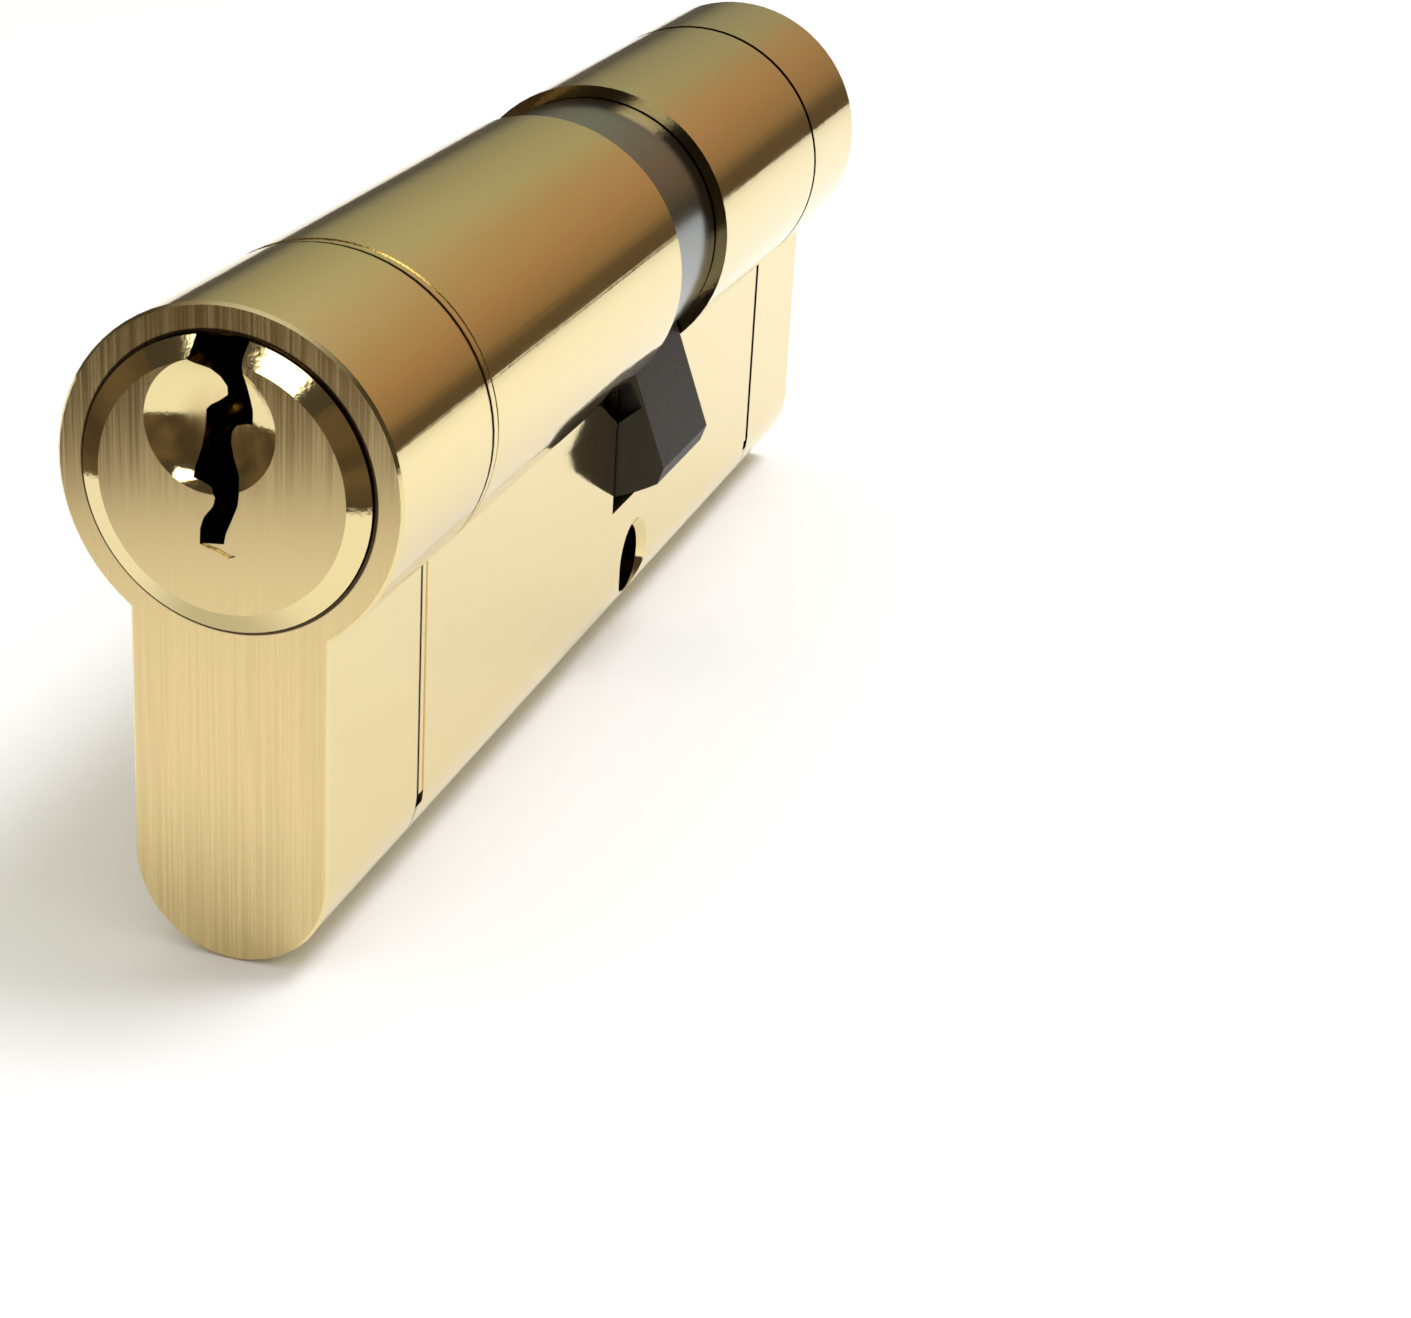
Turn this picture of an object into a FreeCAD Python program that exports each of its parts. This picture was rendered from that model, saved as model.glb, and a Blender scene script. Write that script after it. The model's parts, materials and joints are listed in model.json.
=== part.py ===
import FreeCAD, Part
import math
import os

# Double euro profile cylinder, 45 mm outside and 35 mm inside. Millimetres.
# +Y runs along the barrel from the outside end to the inside end, +X is to the right seen from
# the outside, +Z is up. The origin is the middle of the fixing screw's hole.

V = FreeCAD.Vector

# Housing
FRONT_LENGTH = 45.0        # fixing screw to the outside face
REAR_LENGTH = 35.0         # fixing screw to the inside face
BARREL_R = 8.5
AXIS_Z = 19.5              # barrel axis above the fixing screw
WEB_WIDTH = 10.0
FOOT_R = WEB_WIDTH / 2
OUTER_CHAMFER = 0.15
SLOT_WIDTH = 9.0           # cam slot, across the whole section
SLOT_BELOW_AXIS = 15.0
SCREW_R = 2.1              # M5 thread, drawn at its core radius
SCREW_MOUTH_R = 2.6
SCREW_MOUTH_DEPTH = 0.5
ROOT_Z = AXIS_Z - math.sqrt(BARREL_R ** 2 - FOOT_R ** 2)   # where the barrel meets the web

# Snap-off grooves: a fine slot with a shallow band beside it, and a small window under both
GROOVE_WIDTH = 0.3
BAND_WIDTH = 0.55
GROOVE_DEPTH = 0.3
BAND_DEPTH = 0.05
GROOVE_TOP_EXTRA = 0.1     # deeper by this much on top of the barrel
ROOT_SHARE = 0.25          # share of the depth left where the barrel meets the web
FRONT_GROOVE = 10.75       # from the outside face to the slot's outer edge
REAR_GROOVE = 9.95         # from the inside face
WINDOW_TOP_Z = -0.3
WINDOW_HEIGHT = 0.65
WINDOW_DEPTH = 1.4

# Plugs
BORE_R = 6.53
PLUG_R = 6.47
HEAD_R = 7.08
HEAD_SEAT_R = 7.13
HEAD_SEAT_DEPTH = 1.5
HEAD_PROUD = 0.7           # plug face in front of the housing face
HEAD_LAND = 0.2            # straight part of the head in front of the housing face
FACE_R = 6.05              # flat face inside the bevel
TAIL_R = 5.5
TAIL_END = 1.6             # end of a plug's tail, from the cam's middle
TAIL_RECESS = 1.3
DISH_R = 3.2               # lead-in for the key's tip
DISH_DEPTH = 0.9
DISH_X, DISH_Z = -0.53, 2.88

# Keyway section, seen from the key's side, from the plug axis: left wall down, right wall up
KEYWAY = [(-1.33, 7.60), (-1.37, 6.87), (-1.45, 6.42), (-1.57, 5.84), (-1.28, 5.70),
          (-0.62, 5.52), (-0.18, 5.16), (0.07, 4.70), (0.03, 4.27), (-0.41, 3.91),
          (-0.86, 3.63), (-1.09, 3.38), (-1.14, 2.50), (-1.26, 1.61), (-1.46, 0.71),
          (-1.47, 0.27), (-1.05, 0.16), (-0.53, -0.02), (-0.28, -0.44), (-0.39, -0.87),
          (-0.85, -1.47), (-1.03, -2.02), (-1.06, -2.80), (0.12, -2.68), (0.23, -2.10),
          (0.50, -1.46), (0.81, -0.67), (0.89, -0.07), (0.74, 0.63), (0.33, 1.37),
          (0.13, 1.99), (0.16, 2.50), (0.39, 2.82), (0.91, 3.02), (1.27, 3.08),
          (1.32, 3.76), (1.21, 4.60), (1.10, 5.71), (1.03, 6.19), (1.21, 7.00), (1.18, 7.60)]

# Shallow run-out of the broach under the keyway
RUN_OUT = [(-1.06, -2.75), (0.12, -2.64), (0.42, -2.88), (0.71, -3.13), (0.34, -3.27),
           (-0.26, -3.00), (-0.79, -2.90)]
RUN_OUT_DEPTH = 0.15

# Pin stacks: distance of each stack from its own end face, and its key pin's length
CHAMBER_R = 1.5
PIN_R = 1.45
STACKS = [(8.0, 4.4), (12.0, 5.1), (16.0, 4.7), (20.0, 5.2), (24.0, 4.5)]
PIN_HOLE_TOP = 0.7         # end of a plug's pin hole, above the axis
KEY_PIN_FOOT = 6.42        # below the axis, just inside the shear line
DRIVER_HEAD = 6.53
DRIVER_LENGTH = 5.0
CHAMBER_PLUG_TOP = -2.2
SPRING_R = 1.1
SPRING_WIRE_R = 0.16
SPRING_TURNS = 8

# Cam and its clutch
CAM_WIDTH = 8.6
CAM_R = 7.75
CAM_BORE_R = 5.55
CLIP_SEAT_R = 7.15
CLIP_SEAT_DEPTH = 0.7
LEVER_R = 14.8
LEVER_WIDTH = 7.0
LEVER_ANGLE = -70.0        # from +X about the barrel axis, at rest
LEVER_CHAMFER = 0.7
COUPLER_R = 3.7
COUPLER_BAR = 2.9
COUPLER_BAR_R = 5.15
COUPLER_GAP = 0.8          # between the two coupler halves
COUPLER_SPRING_R = 1.45
COUPLER_WIRE_R = 0.2
COUPLER_SPRING_TURNS = 4
SLIDE_CLEARANCE = 0.05

# Retaining clips
CLIP_R = 7.0
CLIP_INNER_R = 5.05
CLIP_GROOVE_R = 5.0
CLIP_THICKNESS = 0.75
CLIP_FROM_CAM_MIDDLE = 3.7

GAP = 0.02                 # running clearance behind a plug's head and end


def cyl_y(radius, y0, y1, x=0.0, z=AXIS_Z):
    return Part.makeCylinder(radius, y1 - y0, V(x, y0, z), V(0, 1, 0))


def cyl_z(radius, z0, z1, y):
    return Part.makeCylinder(radius, z1 - z0, V(0, y, z0), V(0, 0, 1))


def box(x0, x1, y0, y1, z0, z1):
    return Part.makeBox(x1 - x0, y1 - y0, z1 - z0, V(x0, y0, z0))


def prism_y(points, y0, y1):
    """Extrude an XZ outline, given about the barrel axis, from y0 to y1."""
    corners = [V(x, y0, AXIS_Z + z) for x, z in points]
    return Part.Face(Part.makePolygon(corners + corners[:1])).extrude(V(0, y1 - y0, 0))


def fuse(shapes):
    return shapes[0].multiFuse(shapes[1:]).removeSplitter()


def cut(shape, tools):
    return shape.cut(Part.makeCompound(tools)) if len(tools) > 1 else shape.cut(tools[0])


def about_z(shape):
    """The inside end's copy of an outside-end piece: half a turn about the vertical."""
    turned = shape.copy()
    turned.rotate(V(0, 0, 0), V(0, 0, 1), 180)
    return turned


def export(name, shape):
    if isinstance(shape, Part.Compound) and len(shape.Solids) == 1:
        shape = shape.Solids[0]
    shape.exportStep("parts/%s.step" % name)


def stack_y(end, distance):
    return distance - FRONT_LENGTH if end == "front" else REAR_LENGTH - distance


# ---------------------------------------------------------------- housing
def profile(y0, y1):
    """The euro section: a round barrel on a narrow web with a full-round foot."""
    right, left = V(FOOT_R, y0, ROOT_Z), V(-FOOT_R, y0, ROOT_Z)
    barrel = Part.Arc(right, V(0, y0, AXIS_Z + BARREL_R), left).toShape()
    side_l = Part.makeLine(left, V(-FOOT_R, y0, 0))
    foot = Part.Arc(V(-FOOT_R, y0, 0), V(0, y0, -FOOT_R), V(FOOT_R, y0, 0)).toShape()
    side_r = Part.makeLine(V(FOOT_R, y0, 0), right)
    face = Part.Face(Part.Wire([barrel, side_l, foot, side_r]))
    return face.extrude(V(0, y1 - y0, 0))


def chamfered_profile():
    body = profile(-FRONT_LENGTH, REAR_LENGTH)
    ends = [e for e in body.Edges
            if e.BoundBox.YLength < 1e-6]
    return body.makeChamfer(OUTER_CHAMFER, ends)


def ring_cut(y0, y1, top_depth):
    """Eccentric groove round the barrel: deepest on top, nearly gone at the web."""
    root_angle = math.asin(FOOT_R / BARREL_R)
    offset = top_depth * (1 - ROOT_SHARE) / (1 + math.cos(root_angle))
    inner = BARREL_R - top_depth + offset
    ring = cyl_y(BARREL_R + 1, y0, y1).cut(cyl_y(inner, y0 - 1, y1 + 1, z=AXIS_Z - offset))
    return ring.common(box(-20, 20, y0, y1, ROOT_Z, AXIS_Z + 20))


def snap_groove(edge, inward):
    """Slot at `edge`, with its band on the side towards the cam (`inward` is +1 or -1)."""
    slot_end = edge + inward * GROOVE_WIDTH
    band_end = slot_end + inward * BAND_WIDTH
    tools = []
    for a, b, depth in ((edge, slot_end, GROOVE_DEPTH), (slot_end, band_end, BAND_DEPTH)):
        y0, y1 = sorted((a, b))
        extra = GROOVE_TOP_EXTRA if depth == GROOVE_DEPTH else 0
        tools.append(ring_cut(y0, y1, depth + extra))
        for x in (FOOT_R - depth, -FOOT_R - 1):
            tools.append(box(x, x + 1 + depth, y0, y1, WINDOW_TOP_Z, ROOT_Z + 0.02))
    y0, y1 = sorted((edge, band_end))
    for x in (FOOT_R - WINDOW_DEPTH, -FOOT_R - 1):
        tools.append(box(x, x + 1 + WINDOW_DEPTH, y0, y1,
                         WINDOW_TOP_Z - WINDOW_HEIGHT, WINDOW_TOP_Z))
    return tools


def make_housing():
    half = SLOT_WIDTH / 2
    seat_f, seat_r = -FRONT_LENGTH + HEAD_SEAT_DEPTH, REAR_LENGTH - HEAD_SEAT_DEPTH
    tools = [
        box(-20, 20, -half, half, AXIS_Z - SLOT_BELOW_AXIS, AXIS_Z + 20),
        cyl_y(BORE_R, -FRONT_LENGTH - 1, REAR_LENGTH + 1),
        cyl_y(HEAD_SEAT_R, -FRONT_LENGTH - 1, seat_f),
        cyl_y(HEAD_SEAT_R, seat_r, REAR_LENGTH + 1),
        Part.makeCylinder(SCREW_R, 20, V(-10, 0, 0), V(1, 0, 0)),
    ]
    for side in (-1, 1):
        tools.append(Part.makeCone(SCREW_MOUTH_R, SCREW_R, SCREW_MOUTH_DEPTH,
                                   V(side * FOOT_R, 0, 0), V(-side, 0, 0)))
    body = chamfered_profile()
    for tool in tools:
        body = body.cut(tool)
    for tool in (snap_groove(-FRONT_LENGTH + FRONT_GROOVE, 1)
                 + snap_groove(REAR_LENGTH - REAR_GROOVE, -1)):
        body = body.cut(tool)
    for end in ("front", "rear"):
        for distance, _ in STACKS:
            body = body.cut(cyl_z(CHAMBER_R, -FOOT_R - 1, AXIS_Z - BORE_R + 1,
                                  stack_y(end, distance)))
    return body


# ---------------------------------------------------------------- plugs
def make_plug(length):
    """A plug drawn as the outside one; `length` is from the fixing screw to its end face."""
    face_y = -length - HEAD_PROUD
    shoulder_y = -length + HEAD_SEAT_DEPTH - GAP
    bore_end = -SLOT_WIDTH / 2 - GAP
    groove_end = -CLIP_FROM_CAM_MIDDLE + SLIDE_CLEARANCE
    body = fuse([
        Part.makeCone(FACE_R, HEAD_R, HEAD_PROUD - HEAD_LAND, V(0, face_y, AXIS_Z), V(0, 1, 0)),
        cyl_y(HEAD_R, -length - HEAD_LAND, shoulder_y),
        cyl_y(PLUG_R, shoulder_y, bore_end),
        cyl_y(CLIP_GROOVE_R, bore_end, groove_end),
        cyl_y(TAIL_R, groove_end, -TAIL_END),
    ])
    recess_y = -TAIL_END - TAIL_RECESS
    slot_half = COUPLER_BAR / 2 + SLIDE_CLEARANCE
    ball_r = (DISH_R ** 2 + DISH_DEPTH ** 2) / (2 * DISH_DEPTH)
    ball = Part.makeSphere(ball_r, V(DISH_X, face_y - ball_r + DISH_DEPTH, AXIS_Z + DISH_Z))
    tools = [
        prism_y(KEYWAY, face_y - 1, 0),
        prism_y(RUN_OUT, face_y - 1, face_y + RUN_OUT_DEPTH),
        ball,
        cyl_y(COUPLER_R + 0.1, recess_y, 0),
        box(-TAIL_R - 1, TAIL_R + 1, recess_y, 0, AXIS_Z - slot_half, AXIS_Z + slot_half),
    ]
    for distance, _ in STACKS:
        tools.append(cyl_z(CHAMBER_R, AXIS_Z - HEAD_R - 1, AXIS_Z + PIN_HOLE_TOP,
                           distance - length))
    for tool in tools:
        body = body.cut(tool)
    return body


def make_clip():
    """A C-clip behind the bore, open downwards, in the plug's groove."""
    y0 = -CLIP_FROM_CAM_MIDDLE - CLIP_THICKNESS
    ring = cyl_y(CLIP_R, y0, y0 + CLIP_THICKNESS)
    ring = ring.cut(cyl_y(CLIP_INNER_R, y0 - 1, y0 + 2))
    mouth = CLIP_INNER_R * 0.92
    return ring.cut(box(-mouth, mouth, y0 - 1, y0 + 2, AXIS_Z - 10, AXIS_Z - 1.8))


# ---------------------------------------------------------------- pin stacks
def make_key_pin(y, length):
    """Round-nosed pin; its foot is chamfered to stay inside the plug's radius."""
    foot = AXIS_Z - KEY_PIN_FOOT
    nose = 1.1
    tip_r = 0.35
    outline = [(0, foot), (1.0, foot), (PIN_R, foot + 0.17),
               (PIN_R, foot + length - nose), (tip_r, foot + length), (0, foot + length)]
    return revolve_z(outline, y)


def make_driver_pin(y):
    """Spool-shaped driver: waisted in the middle, its head just under the shear line."""
    head = AXIS_Z - DRIVER_HEAD
    foot = head - DRIVER_LENGTH
    waist = 1.1
    outline = [(0, foot), (PIN_R - 0.1, foot), (PIN_R, foot + 0.1), (PIN_R, foot + 1.5),
               (waist, foot + 1.8), (waist, head - 1.5), (PIN_R, head - 1.2),
               (PIN_R, head - 0.2), (1.1, head), (0, head)]
    return revolve_z(outline, y)


def revolve_z(outline, y):
    corners = [V(r, y, z) for r, z in outline]
    face = Part.Face(Part.makePolygon(corners + corners[:1]))
    return face.revolve(V(0, y, 0), V(0, 0, 1), 360)


def make_spring(y):
    z0, z1 = CHAMBER_PLUG_TOP, AXIS_Z - DRIVER_HEAD - DRIVER_LENGTH
    return coil(SPRING_R, SPRING_WIRE_R, SPRING_TURNS, V(0, y, z0), V(0, 0, 1), z1 - z0)


def coil(radius, wire_r, turns, base, axis, length):
    """Open coil that just reaches from `base` to `length` along `axis`."""
    rise = length - 2 * wire_r - 0.04
    helix = Part.makeHelix(rise / turns, rise, radius)
    slope = math.atan2(rise / turns, 2 * math.pi * radius)
    tangent = V(0, math.cos(slope), math.sin(slope))
    section = Part.Wire([Part.makeCircle(wire_r, V(radius, 0, 0), tangent)])
    solid = Part.Wire(helix.Edges).makePipeShell([section], True, True)
    turn = FreeCAD.Rotation(V(0, 0, 1), axis)
    unit = V(axis.x, axis.y, axis.z).normalize()
    solid.Placement = FreeCAD.Placement(base + unit * (wire_r + 0.02), turn)
    return solid


def make_chamber_plugs(end):
    """Press-in plugs that close the chambers, flush with the round foot."""
    foot = Part.makeCylinder(FOOT_R, 200, V(0, -100, 0), V(0, 1, 0))
    plugs = [cyl_z(CHAMBER_R, -FOOT_R - 0.5, CHAMBER_PLUG_TOP, stack_y(end, d)).common(foot)
             for d, _ in STACKS]
    return Part.makeCompound([s for p in plugs for s in p.Solids])


# ---------------------------------------------------------------- cam and clutch
def polar(radius, angle):
    a = math.radians(angle)
    return (radius * math.cos(a), radius * math.sin(a))


def make_lever():
    half = CAM_WIDTH / 2
    blank = box(0, LEVER_R + 2, -half, half, AXIS_Z - LEVER_WIDTH / 2, AXIS_Z + LEVER_WIDTH / 2)
    blank = blank.common(cyl_y(LEVER_R, -half, half))
    tips = [e for e in blank.Edges
            if e.BoundBox.YLength > CAM_WIDTH - 0.1 and e.BoundBox.XMin > CAM_R]
    blank = blank.makeChamfer(LEVER_CHAMFER, tips)
    blank.rotate(V(0, 0, AXIS_Z), V(0, 1, 0), -LEVER_ANGLE)
    return blank


def make_cam():
    half = CAM_WIDTH / 2
    seat = half - CLIP_SEAT_DEPTH
    bar_half = COUPLER_BAR / 2 + SLIDE_CLEARANCE
    body = fuse([cyl_y(CAM_R, -half, half), make_lever()])
    tools = [
        cyl_y(CLIP_SEAT_R, -half - 1, -seat), cyl_y(CLIP_SEAT_R, seat, half + 1),
        cyl_y(CAM_BORE_R, -half - 1, -TAIL_END), cyl_y(CAM_BORE_R, TAIL_END, half + 1),
        cyl_y(COUPLER_R + 0.1, -half, half),
        box(-COUPLER_BAR_R - 0.1, COUPLER_BAR_R + 0.1, -half, half,
            AXIS_Z - bar_half, AXIS_Z + bar_half),
        prism_y([(5.7, -6.6), (6.4, -8.1), (4.9, -9.4), (4.6, -7.2)], -half - 1, -half + 1.2),
    ]
    for tool in tools:
        body = body.cut(tool)
    return body


def make_coupler(y0, y1, disc0, disc1, recess0, recess1):
    """Half of the clutch: a disc with a bar across it that enters a plug's tail slot."""
    bar = box(-COUPLER_BAR_R - 1, COUPLER_BAR_R + 1, y0, y1,
              AXIS_Z - COUPLER_BAR / 2, AXIS_Z + COUPLER_BAR / 2)
    bar = bar.common(cyl_y(COUPLER_BAR_R, y0, y1))
    body = fuse([bar, cyl_y(COUPLER_R, disc0, disc1)])
    return body.cut(cyl_y(2.0, recess0, recess1))


def make_clutch():
    inner = COUPLER_GAP / 2
    front = make_coupler(-2.7, -inner, -1.4, -inner, -1.2, 0)
    rear = make_coupler(inner, 1.55, inner, 1.4, 0, 1.2)
    spring = coil(COUPLER_SPRING_R, COUPLER_WIRE_R, COUPLER_SPRING_TURNS, V(0, -1.2, AXIS_Z), V(0, 1, 0), 2.4)
    return front, rear, spring


# ---------------------------------------------------------------- build
os.makedirs("parts", exist_ok=True)

export("housing", make_housing())
export("front_plug", make_plug(FRONT_LENGTH))
export("rear_plug", about_z(make_plug(REAR_LENGTH)))
clip = make_clip()
export("front_clip", clip)
export("rear_clip", about_z(clip))
export("cam", make_cam())
front_coupler, rear_coupler, coupler_spring = make_clutch()
export("front_coupler", front_coupler)
export("rear_coupler", rear_coupler)
export("coupler_spring", coupler_spring)

for end in ("front", "rear"):
    export("%s_chamber_plugs" % end, make_chamber_plugs(end))
    for number, (distance, length) in enumerate(STACKS, 1):
        y = stack_y(end, distance)
        export("%s_key_pin_%d" % (end, number), make_key_pin(y, length))
        export("%s_driver_pin_%d" % (end, number), make_driver_pin(y))
        export("%s_pin_spring_%d" % (end, number), make_spring(y))
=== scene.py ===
import json
import math

import bpy
from mathutils import Matrix, Vector


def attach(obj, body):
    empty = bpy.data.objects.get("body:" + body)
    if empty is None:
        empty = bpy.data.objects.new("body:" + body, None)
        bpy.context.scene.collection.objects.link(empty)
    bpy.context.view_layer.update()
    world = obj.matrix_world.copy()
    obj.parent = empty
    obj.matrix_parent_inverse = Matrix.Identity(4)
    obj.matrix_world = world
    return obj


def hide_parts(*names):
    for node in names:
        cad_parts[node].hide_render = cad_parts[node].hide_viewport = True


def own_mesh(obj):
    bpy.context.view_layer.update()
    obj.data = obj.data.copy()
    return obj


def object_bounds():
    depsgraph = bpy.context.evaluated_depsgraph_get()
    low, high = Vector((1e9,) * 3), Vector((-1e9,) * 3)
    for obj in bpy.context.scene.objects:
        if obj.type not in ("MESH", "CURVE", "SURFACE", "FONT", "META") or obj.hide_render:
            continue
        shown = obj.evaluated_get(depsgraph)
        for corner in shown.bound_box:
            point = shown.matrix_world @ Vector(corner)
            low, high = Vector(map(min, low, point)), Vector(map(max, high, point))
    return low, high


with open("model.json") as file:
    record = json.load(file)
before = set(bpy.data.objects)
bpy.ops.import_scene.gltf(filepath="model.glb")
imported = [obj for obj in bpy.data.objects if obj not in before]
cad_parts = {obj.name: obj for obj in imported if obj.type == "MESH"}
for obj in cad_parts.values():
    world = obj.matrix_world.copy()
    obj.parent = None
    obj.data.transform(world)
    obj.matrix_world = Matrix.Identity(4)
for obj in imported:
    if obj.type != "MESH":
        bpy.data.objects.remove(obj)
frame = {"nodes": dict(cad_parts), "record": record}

CAD_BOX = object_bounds()
NODES = frame["nodes"]
MM = 0.001

# ---------------------------------------------------------------- camera
CAMERA_AT = Vector((52.83, -151.75, 65.01)) * MM
CAMERA_AIM = Vector((16.34, 0.0, 1.95)) * MM
CAMERA_ROLL = math.radians(4.40)     # the picture's right side dips by this much
LENS = 70.89
SHIFT = (-0.0755, -0.0709)


def add_camera():
    data = bpy.data.cameras.new("camera")
    data.lens = LENS
    data.sensor_width = 36.0
    data.shift_x, data.shift_y = SHIFT
    data.clip_start, data.clip_end = 0.005, 20.0
    cam = bpy.data.objects.new("camera", data)
    bpy.context.scene.collection.objects.link(cam)
    look = (CAMERA_AIM - CAMERA_AT).to_track_quat("-Z", "Y").to_matrix().to_4x4()
    cam.matrix_world = Matrix.Translation(CAMERA_AT) @ look @ Matrix.Rotation(CAMERA_ROLL, 4, "Z")
    bpy.context.scene.camera = cam


# ---------------------------------------------------------------- node helpers
class Graph:
    """A material's node tree, with one call a node and sockets by name."""

    def __init__(self, name):
        self.material = bpy.data.materials.new(name)
        self.material.use_nodes = True
        self.tree = self.material.node_tree
        self.tree.nodes.clear()
        out = self.tree.nodes.new("ShaderNodeOutputMaterial")
        self.bsdf = self.tree.nodes.new("ShaderNodeBsdfPrincipled")
        self.tree.links.new(self.bsdf.outputs[0], out.inputs["Surface"])

    def node(self, kind, inputs=None, **settings):
        n = self.tree.nodes.new(kind)
        for key, value in settings.items():
            setattr(n, key, value)
        for key, value in (inputs or {}).items():
            self.feed(n.inputs[key], value)
        return n

    def feed(self, socket, value):
        """Links another node's output to the socket, or sets a plain value on it."""
        if isinstance(value, bpy.types.NodeSocket):
            self.tree.links.new(value, socket)
        else:
            socket.default_value = value

    def set(self, **values):
        for key, value in values.items():
            self.feed(self.bsdf.inputs[key.replace("_", " ")], value)

    def maths(self, operation, a, b=0.0, clamp=False):
        return self.node("ShaderNodeMath", {0: a, 1: b}, operation=operation,
                         use_clamp=clamp).outputs[0]

    def mix(self, factor, a, b, blend="MIX"):
        n = self.node("ShaderNodeMix", data_type="RGBA", blend_type=blend)
        self.feed(n.inputs["Factor"], factor)
        self.feed(n.inputs["A"], a)
        self.feed(n.inputs["B"], b)
        return n.outputs["Result"]

    def ramp(self, value, stops):
        n = self.node("ShaderNodeValToRGB", {0: value})
        ends = n.color_ramp.elements
        while len(ends) < len(stops):
            ends.new(0.5)
        for element, (position, colour) in zip(ends, stops):
            element.position, element.color = position, colour
        return n.outputs["Color"]

    def place(self, scale=(1, 1, 1)):
        """Object coordinates in millimetres, stretched by `scale`."""
        coords = self.node("ShaderNodeTexCoord").outputs["Object"]
        return self.node("ShaderNodeMapping", {"Vector": coords,
                         "Scale": tuple(1000 * s for s in scale)}).outputs[0]

    def noise(self, scale, vector, detail=3.0, rough=0.5):
        """Noise about 0.5, mostly between 0.3 and 0.7."""
        return self.node("ShaderNodeTexNoise", {"Scale": scale, "Vector": vector,
                         "Detail": detail, "Roughness": rough}).outputs["Fac"]

    def span(self, value, low, high, out_low=0.0, out_high=1.0):
        """Maps low..high to out_low..out_high, clamped."""
        n = self.node("ShaderNodeMapRange", {0: value, 1: low, 2: high, 3: out_low, 4: out_high})
        return n.outputs[0]


def grey(v):
    return (v, v, v, 1.0)


# ---------------------------------------------------------------- materials
BRASS = (0.79, 0.67, 0.355, 1.0)
# Painted shade: this dark brown darkens the snap-off slots, their edges and the line round each
# plug's head.
PAINTED_SHADE = (0.07, 0.045, 0.025, 1.0)
# Painted shade: this darker brass darkens the cam slot's cut walls.
SLOT_SHADE_BRASS = (0.30, 0.23, 0.11, 1.0)
BUMP_DEPTH = 0.02 * MM

# Sizes that the masks use, in millimetres
AXIS_Z = 19.5                  # barrel axis above the fixing screw
BARREL_R = 8.5
WEB_HALF = 5.0
CAM_R = 7.75
SNAP_SLOT_YS = (-34.1, 24.9)   # middles of the two snap-off slots
CAM_SLOT_HALF = 4.5
SEAT_LINE_R = 7.32             # outer edge of the painted shade line round a plug's head
END_FACES_FROM = 30.0          # end faces are further than this from the fixing screw


def end_face_mask(g, coords):
    """1 on the brushed end faces of the housing and the plugs, 0 elsewhere."""
    normal = g.node("ShaderNodeTexCoord").outputs["Normal"]
    along = g.node("ShaderNodeSeparateXYZ", {0: normal}).outputs["Y"]
    y = g.node("ShaderNodeSeparateXYZ", {0: coords}).outputs["Y"]
    at_end = g.maths("GREATER_THAN", g.maths("ABSOLUTE", y), END_FACES_FROM)
    return g.maths("MULTIPLY", at_end, g.span(g.maths("ABSOLUTE", along), 0.95, 0.99))


def cam_slot_shade(g, coords):
    """1 on the cam slot's two cut walls, which are painted darker as shade inside the slot."""
    normal = g.node("ShaderNodeTexCoord").outputs["Normal"]
    along = g.node("ShaderNodeSeparateXYZ", {0: normal}).outputs["Y"]
    y = g.node("ShaderNodeSeparateXYZ", {0: coords}).outputs["Y"]
    near = g.maths("LESS_THAN", g.maths("ABSOLUTE", y), CAM_SLOT_HALF + 0.05)
    return g.maths("MULTIPLY", near, g.maths("GREATER_THAN", g.maths("ABSOLUTE", along), 0.9))


def axis_distance(g, coords):
    """Distance from the barrel axis, and the coordinates, all in millimetres."""
    x, y, z = g.node("ShaderNodeSeparateXYZ", {0: coords}).outputs
    high = g.maths("SUBTRACT", z, AXIS_Z)
    squares = g.maths("ADD", g.maths("MULTIPLY", x, x), g.maths("MULTIPLY", high, high))
    return g.maths("SQRT", squares), x, y


def groove_shade(g, coords):
    """1 inside the snap-off slots, and a softer line along their edges: painted shade where the
    slots are shaded.
    """
    radius, x, y = axis_distance(g, coords)
    in_barrel = g.span(radius, BARREL_R - 0.13, BARREL_R - 0.10, 1.0, 0.0)
    in_web = g.span(g.maths("ABSOLUTE", x), WEB_HALF - 0.13, WEB_HALF - 0.10, 1.0, 0.0)
    inside = g.maths("MULTIPLY", in_barrel, in_web)
    off = [g.maths("ABSOLUTE", g.maths("SUBTRACT", y, slot)) for slot in SNAP_SLOT_YS]
    nearest = g.maths("MINIMUM", *off)
    deep = g.maths("MULTIPLY", inside, g.maths("LESS_THAN", nearest, 0.25))
    return g.maths("MAXIMUM", deep, g.span(nearest, 0.18, 0.25, 0.6, 0.0))


def seat_line_shade(g, coords, face):
    """1 on the thin painted shade line round each plug's head, on the end faces, where the gap is
    shaded.
    """
    radius, _, _ = axis_distance(g, coords)
    return g.maths("MULTIPLY", face, g.span(radius, SEAT_LINE_R - 0.06, SEAT_LINE_R, 1.0, 0.0))


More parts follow.
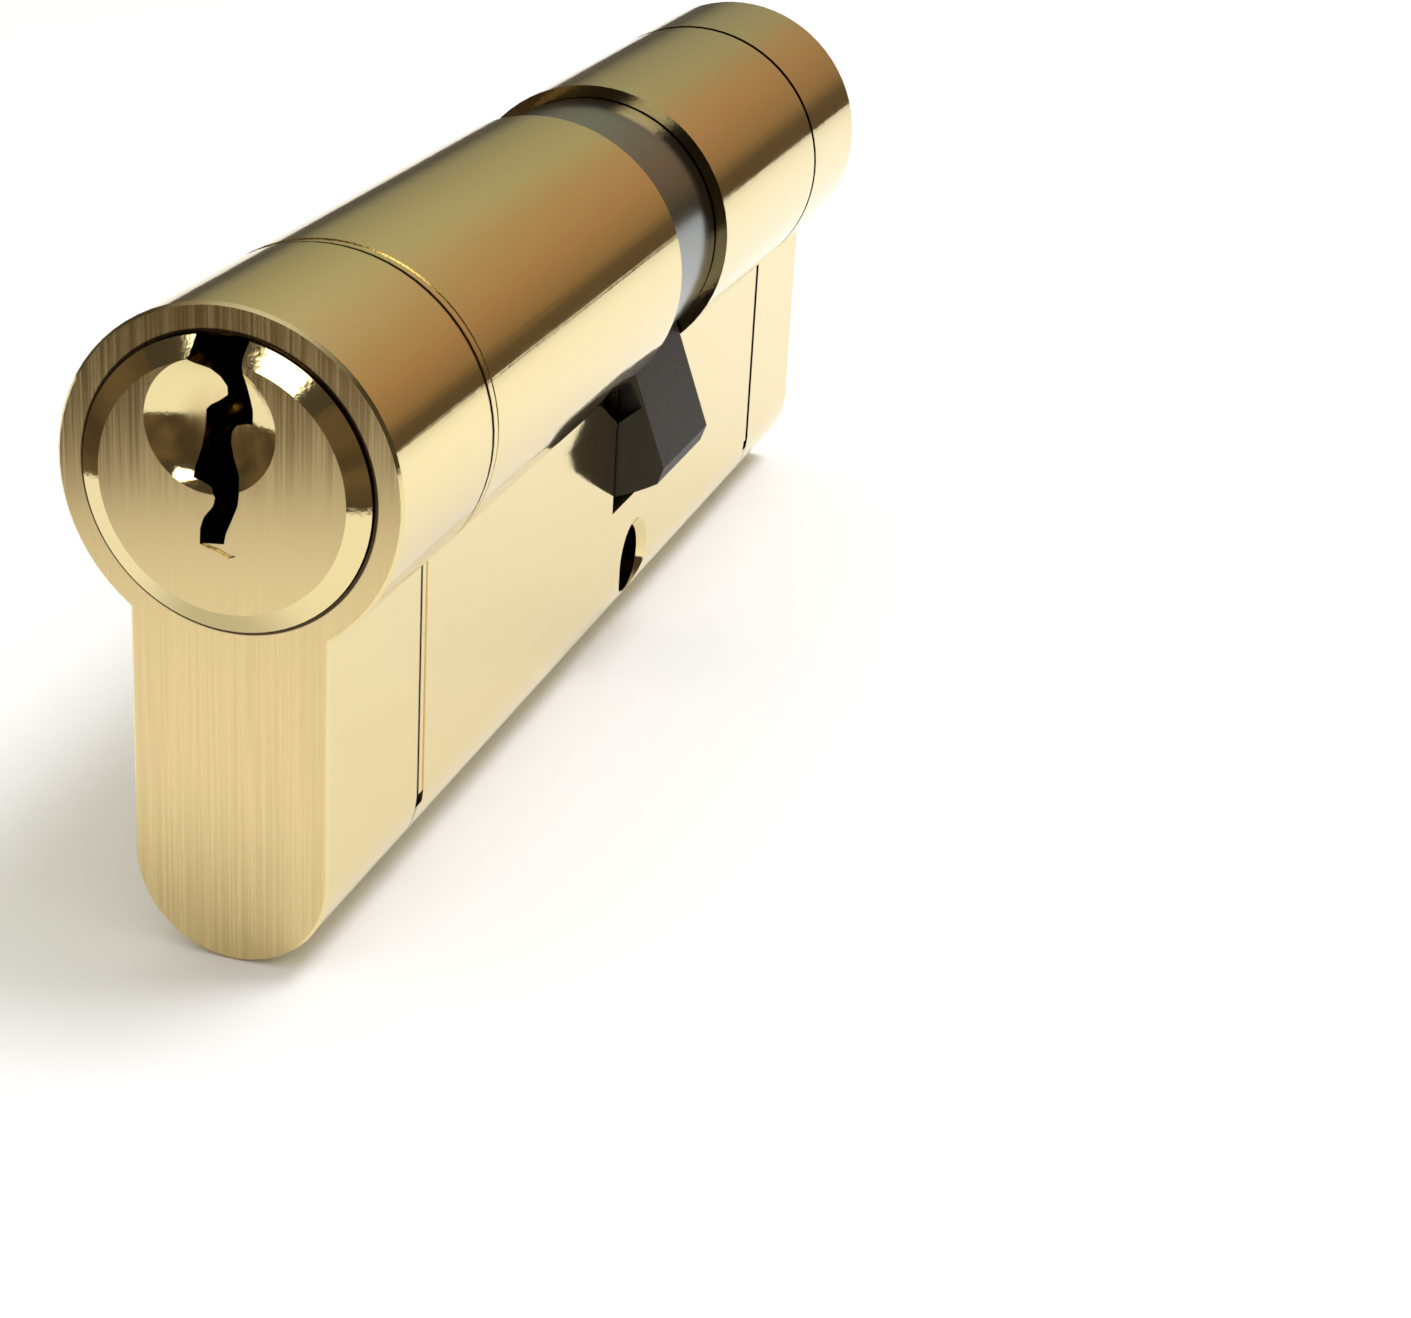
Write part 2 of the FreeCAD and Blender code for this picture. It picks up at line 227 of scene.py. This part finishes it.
def brass(name, colour, side_rough, face_rough, painted_shade=False):
    """Polished along its sides with fine lengthwise streaks; ends brushed up and down."""
    g = Graph(name)
    coords = g.place()
    face = end_face_mask(g, coords)
    fine = g.noise(1.0, g.place((5.0, 0.05, 5.0)), 5.0)
    brushed = g.noise(1.0, g.place((7.5, 1.3, 0.08)), 3.0)
    mottle = g.noise(0.9, coords, 2.0)
    cloud = g.noise(0.12, coords, 2.0)
    side = g.span(fine, 0.3, 0.7, side_rough * 0.8, side_rough * 1.3)
    side = g.maths("MULTIPLY", side, g.span(cloud, 0.3, 0.7, 0.85, 1.2))
    ends = g.span(brushed, 0.38, 0.62, face_rough * 0.85, face_rough * 1.2)
    rough = g.node("ShaderNodeMix", {"Factor": face, 2: side, 3: ends}, data_type="FLOAT")
    shade = g.mix(g.span(brushed, 0.38, 0.62), (0.87, 0.81, 0.78, 1.0),
                  (1.0, 0.94, 0.91, 1.0))
    tint = g.mix(1.0, colour, g.mix(face, grey(1.0), shade), "MULTIPLY")
    # Painted shade on the housing: the slots, the cam slot walls and the plug seat lines are
    # darkened in the colour.
    if painted_shade:
        dark = g.maths("MAXIMUM", groove_shade(g, coords), seat_line_shade(g, coords, face))
        tint = g.mix(cam_slot_shade(g, coords), tint, SLOT_SHADE_BRASS)
        tint = g.mix(dark, tint, PAINTED_SHADE)
    streaks = g.maths("ADD", fine, g.maths("MULTIPLY", mottle, 1.6))
    bumps = g.node("ShaderNodeMix", {"Factor": face, 2: streaks, 3: brushed}, data_type="FLOAT")
    bump = g.node("ShaderNodeBump", {"Strength": 0.17, "Distance": BUMP_DEPTH,
                  "Height": bumps.outputs[0]})
    g.set(Base_Color=tint, Metallic=1.0, Roughness=rough.outputs[0], Normal=bump.outputs[0])
    return g.material


def satin_steel(name, colour, rough):
    g = Graph(name)
    grain = g.noise(1.5, g.place(), 5.0, 0.6)
    g.set(Base_Color=g.mix(grain, tuple(c * 0.8 for c in colour[:3]) + (1.0,), colour),
          Metallic=1.0, Roughness=g.span(grain, 0.3, 0.7, rough * 0.85, rough * 1.2))
    return g.material


def cam_steel(name):
    """The ring is turned bright; the lever keeps its dark sintered skin."""
    g = Graph(name)
    coords = g.place()
    radius, _, _ = axis_distance(g, coords)
    lever = g.span(radius, CAM_R + 0.02, CAM_R + 0.12)
    turned = g.noise(1.0, g.place((0.4, 6.0, 0.4)), 4.0)
    grain = g.noise(2.5, coords, 5.0, 0.6)
    ring = g.mix(turned, (0.18, 0.20, 0.195, 1.0), (0.26, 0.28, 0.275, 1.0))
    skin = g.mix(grain, (0.050, 0.046, 0.042, 1.0), (0.080, 0.074, 0.068, 1.0))
    rough = g.node("ShaderNodeMix", {"Factor": lever, 2: g.span(turned, 0.3, 0.7, 0.16, 0.24),
                   3: g.span(grain, 0.3, 0.7, 0.46, 0.58)}, data_type="FLOAT")
    g.set(Base_Color=g.mix(lever, ring, skin), Metallic=1.0, Roughness=rough.outputs[0])
    return g.material


def dress():
    """Gives each node the material that its slot in the record names."""
    materials = {
        "housing_brass": brass("housing_brass", BRASS, 0.075, 0.23, painted_shade=True),
        "front_plug_brass": brass("front_plug_brass", BRASS, 0.07, 0.22),
        "rear_plug_brass": brass("rear_plug_brass", BRASS, 0.07, 0.22),
        "cam_steel": cam_steel("cam_steel"),
        "clip_steel": satin_steel("clip_steel", (0.42, 0.42, 0.44, 1.0), 0.3),
        "coupler_brass": satin_steel("coupler_brass", (0.60, 0.46, 0.25, 1.0), 0.3),
        "spring_steel": satin_steel("spring_steel", (0.55, 0.56, 0.58, 1.0), 0.25),
        "chamber_plug_brass": brass("chamber_plug_brass", BRASS, 0.14, 0.30),
        "key_pin_brass": satin_steel("key_pin_brass", (0.74, 0.58, 0.30, 1.0), 0.25),
        "driver_pin_steel": satin_steel("driver_pin_steel", (0.50, 0.50, 0.52, 1.0), 0.25),
    }
    slots = {s["node"]: s["material_slot"] for s in frame["record"]["subparts"]}
    for name, obj in NODES.items():
        obj.data.materials.clear()
        obj.data.materials.append(materials[slots[name]])


def add_pin_springs():
    """Copies of the pin springs, each with its own mesh, attached to the housing in place of the
    rigid ones.
    """
    for side in ("front", "rear"):
        for i in range(1, 6):
            node = f"{side}_pin_spring_{i}"
            spring = bpy.data.objects.new(f"{side}_pin_coil_{i}", NODES[node].data.copy())
            bpy.context.scene.collection.objects.link(spring)
            spring.matrix_world = NODES[node].matrix_world
            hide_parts(node)
            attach(spring, "housing")
            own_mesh(spring)


# ---------------------------------------------------------------- floor, backdrop and light
FLOOR_Z = CAD_BOX[0][2]
HORIZON_R = 0.5          # the table's edge, as the metal sees it
BACKDROP_R = 1.9
WALL_R = 0.064           # the dark wall round the front end
WALL_HEIGHT = 0.045
WALL_FROM, WALL_TO = 115.0, 275.0    # where it starts and stops, from +Y towards +X
WALL_STEPS = 24
WARM = (1.0, 0.97, 0.88, 1.0)
FRONT_END = (0, -0.045, 0.02)        # the lit cards face this point


def plain(name, colour, rough=0.9):
    g = Graph(name)
    cloud = g.noise(0.01, g.place(), 2.0)
    g.set(Base_Color=g.mix(cloud, tuple(c * 0.99 for c in colour[:3]) + (1.0,), colour),
          Roughness=rough)
    return g.material


def add_floor():
    bpy.ops.mesh.primitive_plane_add(size=4.0, location=(0, 0, FLOOR_Z))
    floor = bpy.context.object
    floor.name = "floor"
    floor.data.materials.append(plain("floor", (0.93, 0.93, 0.92, 1.0)))


def emitter(name, colour, strength):
    g = Graph(name)
    g.set(Base_Color=grey(0.0), Roughness=1.0, Emission_Color=colour, Emission_Strength=strength)
    return g.material


def reflected_only(obj):
    """The metal reflects it. It can't be seen, casts no shadow and lights nothing else."""
    obj.visible_camera = obj.visible_diffuse = obj.visible_shadow = False


def room_colour(g):
    """What stands round the table, by direction: dark front, brown and olive behind."""
    coords = g.node("ShaderNodeTexCoord").outputs["Object"]
    unit = g.node("ShaderNodeVectorMath", {0: coords}, operation="NORMALIZE").outputs[0]
    x, y, z = g.node("ShaderNodeSeparateXYZ", {0: unit}).outputs
    up = g.maths("MULTIPLY", g.maths("ARCSINE", z), 180 / math.pi)
    round_ = g.maths("MULTIPLY", g.maths("ARCTAN2", x, y), 180 / math.pi)
    height = g.span(up, 0.0, 90.0)

    def bands(*stops):
        return g.ramp(height, [(deg / 90.0, tuple(c) + (1.0,)) for deg, c in stops])

    right = bands((0, (0.10, 0.06, 0.03)), (5.5, (0.12, 0.08, 0.04)), (10, (0.31, 0.19, 0.095)),
                  (19, (0.44, 0.26, 0.14)), (30, (0.50, 0.36, 0.21)), (60, (0.85, 0.82, 0.76)))
    left = bands((0, (0.10, 0.085, 0.065)), (7, (0.10, 0.09, 0.068)), (14, (0.29, 0.265, 0.17)),
                 (24, (0.40, 0.38, 0.23)), (32, (0.50, 0.46, 0.30)), (60, (0.85, 0.82, 0.76)))
    front = bands((0, (0.06, 0.045, 0.03)), (36, (0.06, 0.045, 0.03)), (50, (0.30, 0.27, 0.23)),
                  (65, (0.80, 0.77, 0.72)))
    beside = bands((0, (0.25, 0.21, 0.16)), (30, (0.45, 0.40, 0.32)), (60, (0.85, 0.82, 0.76)))
    wobble = g.span(g.noise(6.0, coords, 3.0), 0.3, 0.7, -5.0, 5.0)
    turn = g.maths("ADD", round_, wobble)
    behind = g.mix(g.span(turn, -7.0, 9.0), left, right)
    behind = g.mix(g.span(round_, 35.0, 70.0), behind, beside)
    return g.mix(g.span(y, -0.05, 0.35), front, behind)


def add_backdrop():
    """A pale surround behind the floor's far edge. Only the camera sees it."""
    bpy.ops.mesh.primitive_uv_sphere_add(segments=64, ring_count=32, radius=BACKDROP_R,
                                         location=(0, 0, FLOOR_Z))
    backdrop = bpy.context.object
    backdrop.name = "backdrop"
    g = Graph("backdrop")
    cloud = g.noise(0.002, g.place(), 1.0)
    g.set(Base_Color=grey(0.0), Roughness=1.0, Emission_Strength=1.0,
          Emission_Color=g.mix(cloud, (0.78, 0.77, 0.75, 1.0), (0.82, 0.81, 0.79, 1.0)))
    backdrop.data.materials.append(g.material)
    backdrop.visible_diffuse = backdrop.visible_glossy = backdrop.visible_shadow = False


def add_room():
    bpy.ops.mesh.primitive_uv_sphere_add(segments=64, ring_count=32, radius=HORIZON_R,
                                         location=(0, 0, FLOOR_Z))
    room = bpy.context.object
    room.name = "room"
    g = Graph("room")
    g.set(Base_Color=grey(0.0), Roughness=1.0, Emission_Color=room_colour(g),
          Emission_Strength=1.0)
    room.data.materials.append(g.material)
    reflected_only(room)


def add_card(name, centre, aim, size, colour, strength):
    """A lit card that only the metal reflects."""
    bpy.ops.mesh.primitive_plane_add(size=1.0, location=centre)
    card = bpy.context.object
    card.name = name
    card.scale = (size[0], size[1], 1.0)
    card.rotation_euler = (Vector(aim) - Vector(centre)).to_track_quat("Z", "Y").to_euler()
    card.data.materials.append(emitter(name, colour, strength))
    reflected_only(card)


def add_front_wall():
    """A low dark wall round the front end, where the photographer stands."""
    first, last = math.radians(WALL_FROM), math.radians(WALL_TO)
    points = []
    for i in range(WALL_STEPS + 1):
        a = first + (last - first) * i / WALL_STEPS
        x = WALL_R * math.sin(a)
        y = WALL_R * math.cos(a) + CAD_BOX[0][1]
        points += [(x, y, FLOOR_Z), (x, y, FLOOR_Z + WALL_HEIGHT)]
    faces = [(2 * i, 2 * i + 2, 2 * i + 3, 2 * i + 1) for i in range(WALL_STEPS)]
    mesh = bpy.data.meshes.new("front_wall")
    mesh.from_pydata(points, [], faces)
    wall = bpy.data.objects.new("front_wall", mesh)
    bpy.context.scene.collection.objects.link(wall)
    g = Graph("front_wall")
    cloud = g.span(g.noise(0.05, g.place(), 2.0), 0.35, 0.65)
    g.set(Base_Color=grey(0.0), Roughness=1.0, Emission_Strength=1.0,
          Emission_Color=g.mix(cloud, (0.055, 0.037, 0.019, 1.0), (0.14, 0.095, 0.05, 1.0)))
    mesh.materials.append(g.material)
    reflected_only(wall)


def add_area(name, location, aim, size, power, colour):
    data = bpy.data.lights.new(name, "AREA")
    data.shape = "RECTANGLE"
    data.size, data.size_y = size
    data.energy = power
    data.color = colour
    lamp = bpy.data.objects.new(name, data)
    bpy.context.scene.collection.objects.link(lamp)
    lamp.location = location
    lamp.rotation_euler = (Vector(aim) - Vector(location)).to_track_quat("-Z", "Y").to_euler()


def add_world():
    """Soft light from above that fades towards the horizon."""
    world = bpy.data.worlds.new("studio")
    world.use_nodes = True
    tree = world.node_tree
    back = tree.nodes["Background"]
    coords = tree.nodes.new("ShaderNodeTexCoord")
    split = tree.nodes.new("ShaderNodeSeparateXYZ")
    fade = tree.nodes.new("ShaderNodeMapRange")
    fade.inputs["From Min"].default_value, fade.inputs["From Max"].default_value = 0.05, 0.6
    fade.inputs["To Min"].default_value, fade.inputs["To Max"].default_value = 0.25, 0.90
    tree.links.new(coords.outputs["Generated"], split.inputs[0])
    tree.links.new(split.outputs["Z"], fade.inputs["Value"])
    tree.links.new(fade.outputs[0], back.inputs["Strength"])
    back.inputs["Color"].default_value = (1.0, 0.98, 0.91, 1.0)
    bpy.context.scene.world = world


add_camera()
dress()
add_pin_springs()
add_floor()
add_world()
add_backdrop()
add_room()
add_card("lamp", (-0.011, -0.367, 0.18), FRONT_END, (0.11, 0.045), WARM, 6.0)
add_card("small_lamp", (-0.212, -0.298, 0.175), FRONT_END, (0.03, 0.04), WARM, 4.0)
add_front_wall()
add_area("key", (0.16, 0.09, 0.46), (0, -0.01, 0), (0.16, 0.16), 1.2, (1.0, 1.0, 1.12))
bpy.context.scene.view_settings.view_transform = "Standard"
